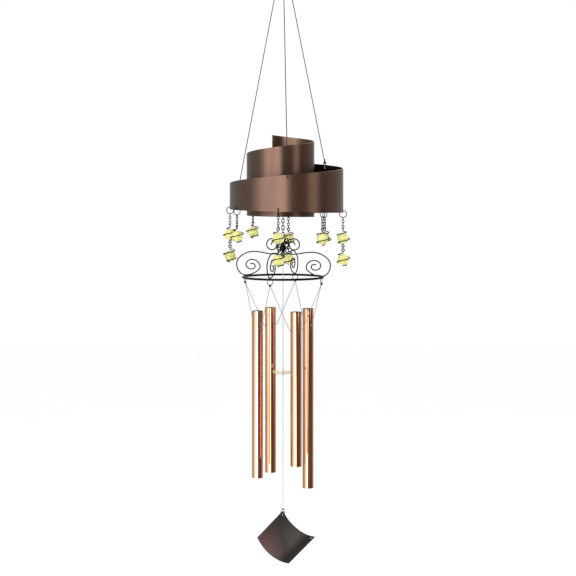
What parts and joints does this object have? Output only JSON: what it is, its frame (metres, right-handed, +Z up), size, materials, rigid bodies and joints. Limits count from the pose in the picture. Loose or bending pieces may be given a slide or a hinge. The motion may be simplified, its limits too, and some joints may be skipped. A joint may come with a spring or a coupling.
{
  "type": "wind chime",
  "caption": "Hanging wind chime: a spiral sheet-metal canopy with caged glass beads, a scroll frame with metal tubes, a clapper and a curved sail.",
  "frame": {"origin": "where a hook bears inside the top of the hanging ring", "axes": "+Z up along the chime, +X to the right and -Y towards the front"},
  "size_m": [0.1844, 0.171, 0.9224],
  "materials": {
    "ring_steel": "dull plated wire",
    "cord": "braided cord, dark grey",
    "tube_line": "fine braided line, light grey",
    "canopy": "brushed and darkened copper colour",
    "wire": "near-black bronze",
    "tube": "polished copper colour",
    "bead": "amber yellow glass",
    "clapper": "pale amber, translucent",
    "sail": "darkened copper colour"
  },
  "bodies": {
    "hanging_ring": {"hanging_ring": "ring_steel"},
    "gather": {"gather_knot": "cord"},
    "canopy": {"suspension_cord_left": "cord", "suspension_cord_front": "cord", "suspension_cord_right": "cord", "cord_ties": "cord", "canopy_spiral": "canopy", "cross_wire": "wire"},
    "centre_chain": {"centre_chain": "wire"},
    "crown_ring": {"crown_ring": "wire"},
    "scroll_frame": {"crown": "wire", "scrolls": "wire", "hoop": "wire", "eyelet_knots": "cord"},
    "tube_cord_right": {"tube_cord_right": "tube_line"},
    "tube_right": {"tube_right": "tube"},
    "tube_cord_back": {"tube_cord_back": "tube_line"},
    "tube_back": {"tube_back": "tube"},
    "tube_cord_left": {"tube_cord_left": "tube_line"},
    "tube_left": {"tube_left": "tube"},
    "tube_cord_front": {"tube_cord_front": "tube_line"},
    "tube_front": {"tube_front": "tube"},
    "striker_knot": {"striker_knot": "cord"},
    "striker": {"striker_cord": "cord", "clapper": "clapper"},
    "sail_cord": {"sail_cord": "cord"},
    "sail": {"sail": "sail", "sail_tie": "cord"},
    "pendant_1": {"pendant_1_chain": "wire", "pendant_1_cage": "wire", "pendant_1_glass": "bead"},
    "pendant_2": {"pendant_2_chain": "wire", "pendant_2_cage": "wire", "pendant_2_glass": "bead"},
    "pendant_2_lower": {"pendant_2_lower_cage": "wire", "pendant_2_lower_glass": "bead"},
    "pendant_3": {"pendant_3_chain": "wire", "pendant_3_cage": "wire", "pendant_3_glass": "bead"},
    "pendant_4": {"pendant_4_chain": "wire", "pendant_4_cage": "wire", "pendant_4_glass": "bead"},
    "pendant_4_lower": {"pendant_4_lower_cage": "wire", "pendant_4_lower_glass": "bead"},
    "pendant_5": {"pendant_5_chain": "wire", "pendant_5_cage": "wire", "pendant_5_glass": "bead"},
    "pendant_6": {"pendant_6_chain": "wire", "pendant_6_cage": "wire", "pendant_6_glass": "bead"},
    "pendant_6_lower": {"pendant_6_lower_cage": "wire", "pendant_6_lower_glass": "bead"},
    "pendant_7": {"pendant_7_chain": "wire", "pendant_7_cage": "wire", "pendant_7_glass": "bead"},
    "pendant_8": {"pendant_8_chain": "wire", "pendant_8_cage": "wire", "pendant_8_glass": "bead"},
    "pendant_8_lower": {"pendant_8_lower_cage": "wire", "pendant_8_lower_glass": "bead"}
  },
  "joints": [
    {"name": "sway_fore_aft", "type": "hinge", "parent": "hanging_ring", "child": "gather", "pos_m": [0, 0, -0.02025], "axis": [1, 0, 0], "range_deg": [-15, 15]},
    {"name": "sway_side", "type": "hinge", "parent": "gather", "child": "canopy", "pos_m": [0, 0, -0.02705], "axis": [0, 1, 0], "range_deg": [-15, 15]},
    {"name": "chain_swing", "type": "hinge", "parent": "canopy", "child": "centre_chain", "pos_m": [0, 0, -0.3889], "axis": [1, 0, 0], "range_deg": [-3.3, 3.3]},
    {"name": "crown_ring_swing", "type": "hinge", "parent": "centre_chain", "child": "crown_ring", "pos_m": [0, 0, -0.44305], "axis": [0, -1, 0], "range_deg": [-4, 10]},
    {"name": "frame_twist", "type": "hinge", "parent": "crown_ring", "child": "scroll_frame", "pos_m": [0, 0, -0.44845], "axis": [0, 0, 1], "range_deg": [-20, 1.5]},
    {"name": "tube_cord_right_swing", "type": "hinge", "parent": "scroll_frame", "child": "tube_cord_right", "pos_m": [0.03654, 0.01862, -0.50565], "axis": [0.454, -0.891, 0], "range_deg": [-2, 12]},
    {"name": "tube_right_rock", "type": "hinge", "parent": "tube_cord_right", "child": "tube_right", "pos_m": [0.03654, 0.01862, -0.57105], "axis": [0.454, -0.891, 0], "range_deg": [-1.5, 6]},
    {"name": "tube_cord_back_swing", "type": "hinge", "parent": "scroll_frame", "child": "tube_cord_back", "pos_m": [-0.01862, 0.03654, -0.50565], "axis": [0.891, 0.454, 0], "range_deg": [-2, 12]},
    {"name": "tube_back_rock", "type": "hinge", "parent": "tube_cord_back", "child": "tube_back", "pos_m": [-0.01862, 0.03654, -0.57105], "axis": [0.891, 0.454, 0], "range_deg": [-1.5, 6]},
    {"name": "tube_cord_left_swing", "type": "hinge", "parent": "scroll_frame", "child": "tube_cord_left", "pos_m": [-0.03654, -0.01862, -0.50565], "axis": [-0.454, 0.891, 0], "range_deg": [-2, 12]},
    {"name": "tube_left_rock", "type": "hinge", "parent": "tube_cord_left", "child": "tube_left", "pos_m": [-0.03654, -0.01862, -0.57105], "axis": [-0.454, 0.891, 0], "range_deg": [-1.5, 6]},
    {"name": "tube_cord_front_swing", "type": "hinge", "parent": "scroll_frame", "child": "tube_cord_front", "pos_m": [0.01862, -0.03654, -0.50565], "axis": [-0.891, -0.454, 0], "range_deg": [-2, 12]},
    {"name": "tube_front_rock", "type": "hinge", "parent": "tube_cord_front", "child": "tube_front", "pos_m": [0.01862, -0.03654, -0.57105], "axis": [-0.891, -0.454, 0], "range_deg": [-1.5, 6]},
    {"name": "striker_swing_across", "type": "hinge", "parent": "scroll_frame", "child": "striker_knot", "pos_m": [0, 0, -0.46415], "axis": [0.454, -0.891, 0], "range_deg": [-5, 5]},
    {"name": "striker_swing_along", "type": "hinge", "parent": "striker_knot", "child": "striker", "pos_m": [0, 0, -0.46855], "axis": [0.891, 0.454, 0], "range_deg": [-5, 5]},
    {"name": "sail_swing", "type": "hinge", "parent": "striker", "child": "sail_cord", "pos_m": [0, 0, -0.6375], "axis": [0.9511, -0.309, 0], "range_deg": [-12, 12]},
    {"name": "sail_twist", "type": "hinge", "parent": "sail_cord", "child": "sail", "pos_m": [0, 0, -0.83305], "axis": [0, 0, 1], "range_deg": [-60, 60]},
    {"name": "pendant_1_swing", "type": "hinge", "parent": "canopy", "child": "pendant_1", "pos_m": [-0.04532, 0.06454, -0.39314], "axis": [0.788, 0.6157, 0], "range_deg": [-15, 20]},
    {"name": "pendant_2_swing", "type": "hinge", "parent": "canopy", "child": "pendant_2", "pos_m": [-0.0768, 0, -0.395], "axis": [0, 1, 0], "range_deg": [-4, 20]},
    {"name": "pendant_2_lower_swing", "type": "hinge", "parent": "pendant_2", "child": "pendant_2_lower", "pos_m": [-0.0768, 0, -0.44795], "axis": [-1, 0, 0], "range_deg": [-6, 20]},
    {"name": "pendant_3_swing", "type": "hinge", "parent": "canopy", "child": "pendant_3", "pos_m": [-0.0651, -0.04218, -0.39604], "axis": [-0.515, 0.8572, 0], "range_deg": [-15, 20]},
    {"name": "pendant_4_swing", "type": "hinge", "parent": "canopy", "child": "pendant_4", "pos_m": [-0.0063, -0.0811, -0.39766], "axis": [-0.9903, 0.1392, 0], "range_deg": [-4, 20]},
    {"name": "pendant_4_lower_swing", "type": "hinge", "parent": "pendant_4", "child": "pendant_4_lower", "pos_m": [-0.0063, -0.0811, -0.45061], "axis": [-0.1392, -0.9903, 0], "range_deg": [-6, 20]},
    {"name": "pendant_5_swing", "type": "hinge", "parent": "canopy", "child": "pendant_5", "pos_m": [0.05552, -0.06454, -0.399], "axis": [-0.788, -0.6157, 0], "range_deg": [-15, 20]},
    {"name": "pendant_6_swing", "type": "hinge", "parent": "canopy", "child": "pendant_6", "pos_m": [0.08669, -0.00714, -0.40027], "axis": [-0.0872, -0.9962, 0], "range_deg": [-4, 20]},
    {"name": "pendant_6_lower_swing", "type": "hinge", "parent": "pendant_6", "child": "pendant_6_lower", "pos_m": [0.08669, -0.00714, -0.45322], "axis": [0.9962, -0.0872, 0], "range_deg": [-6, 20]},
    {"name": "pendant_7_swing", "type": "hinge", "parent": "canopy", "child": "pendant_7", "pos_m": [0.06214, 0.05332, -0.40162], "axis": [0.766, -0.6428, 0], "range_deg": [-15, 20]},
    {"name": "pendant_8_swing", "type": "hinge", "parent": "canopy", "child": "pendant_8", "pos_m": [0.00795, 0.06896, -0.40266], "axis": [0.9907, 0.1357, 0], "range_deg": [-4, 20]},
    {"name": "pendant_8_lower_swing", "type": "hinge", "parent": "pendant_8", "child": "pendant_8_lower", "pos_m": [0.00795, 0.06896, -0.45561], "axis": [-0.1357, 0.9907, 0], "range_deg": [-6, 20]}
  ]
}
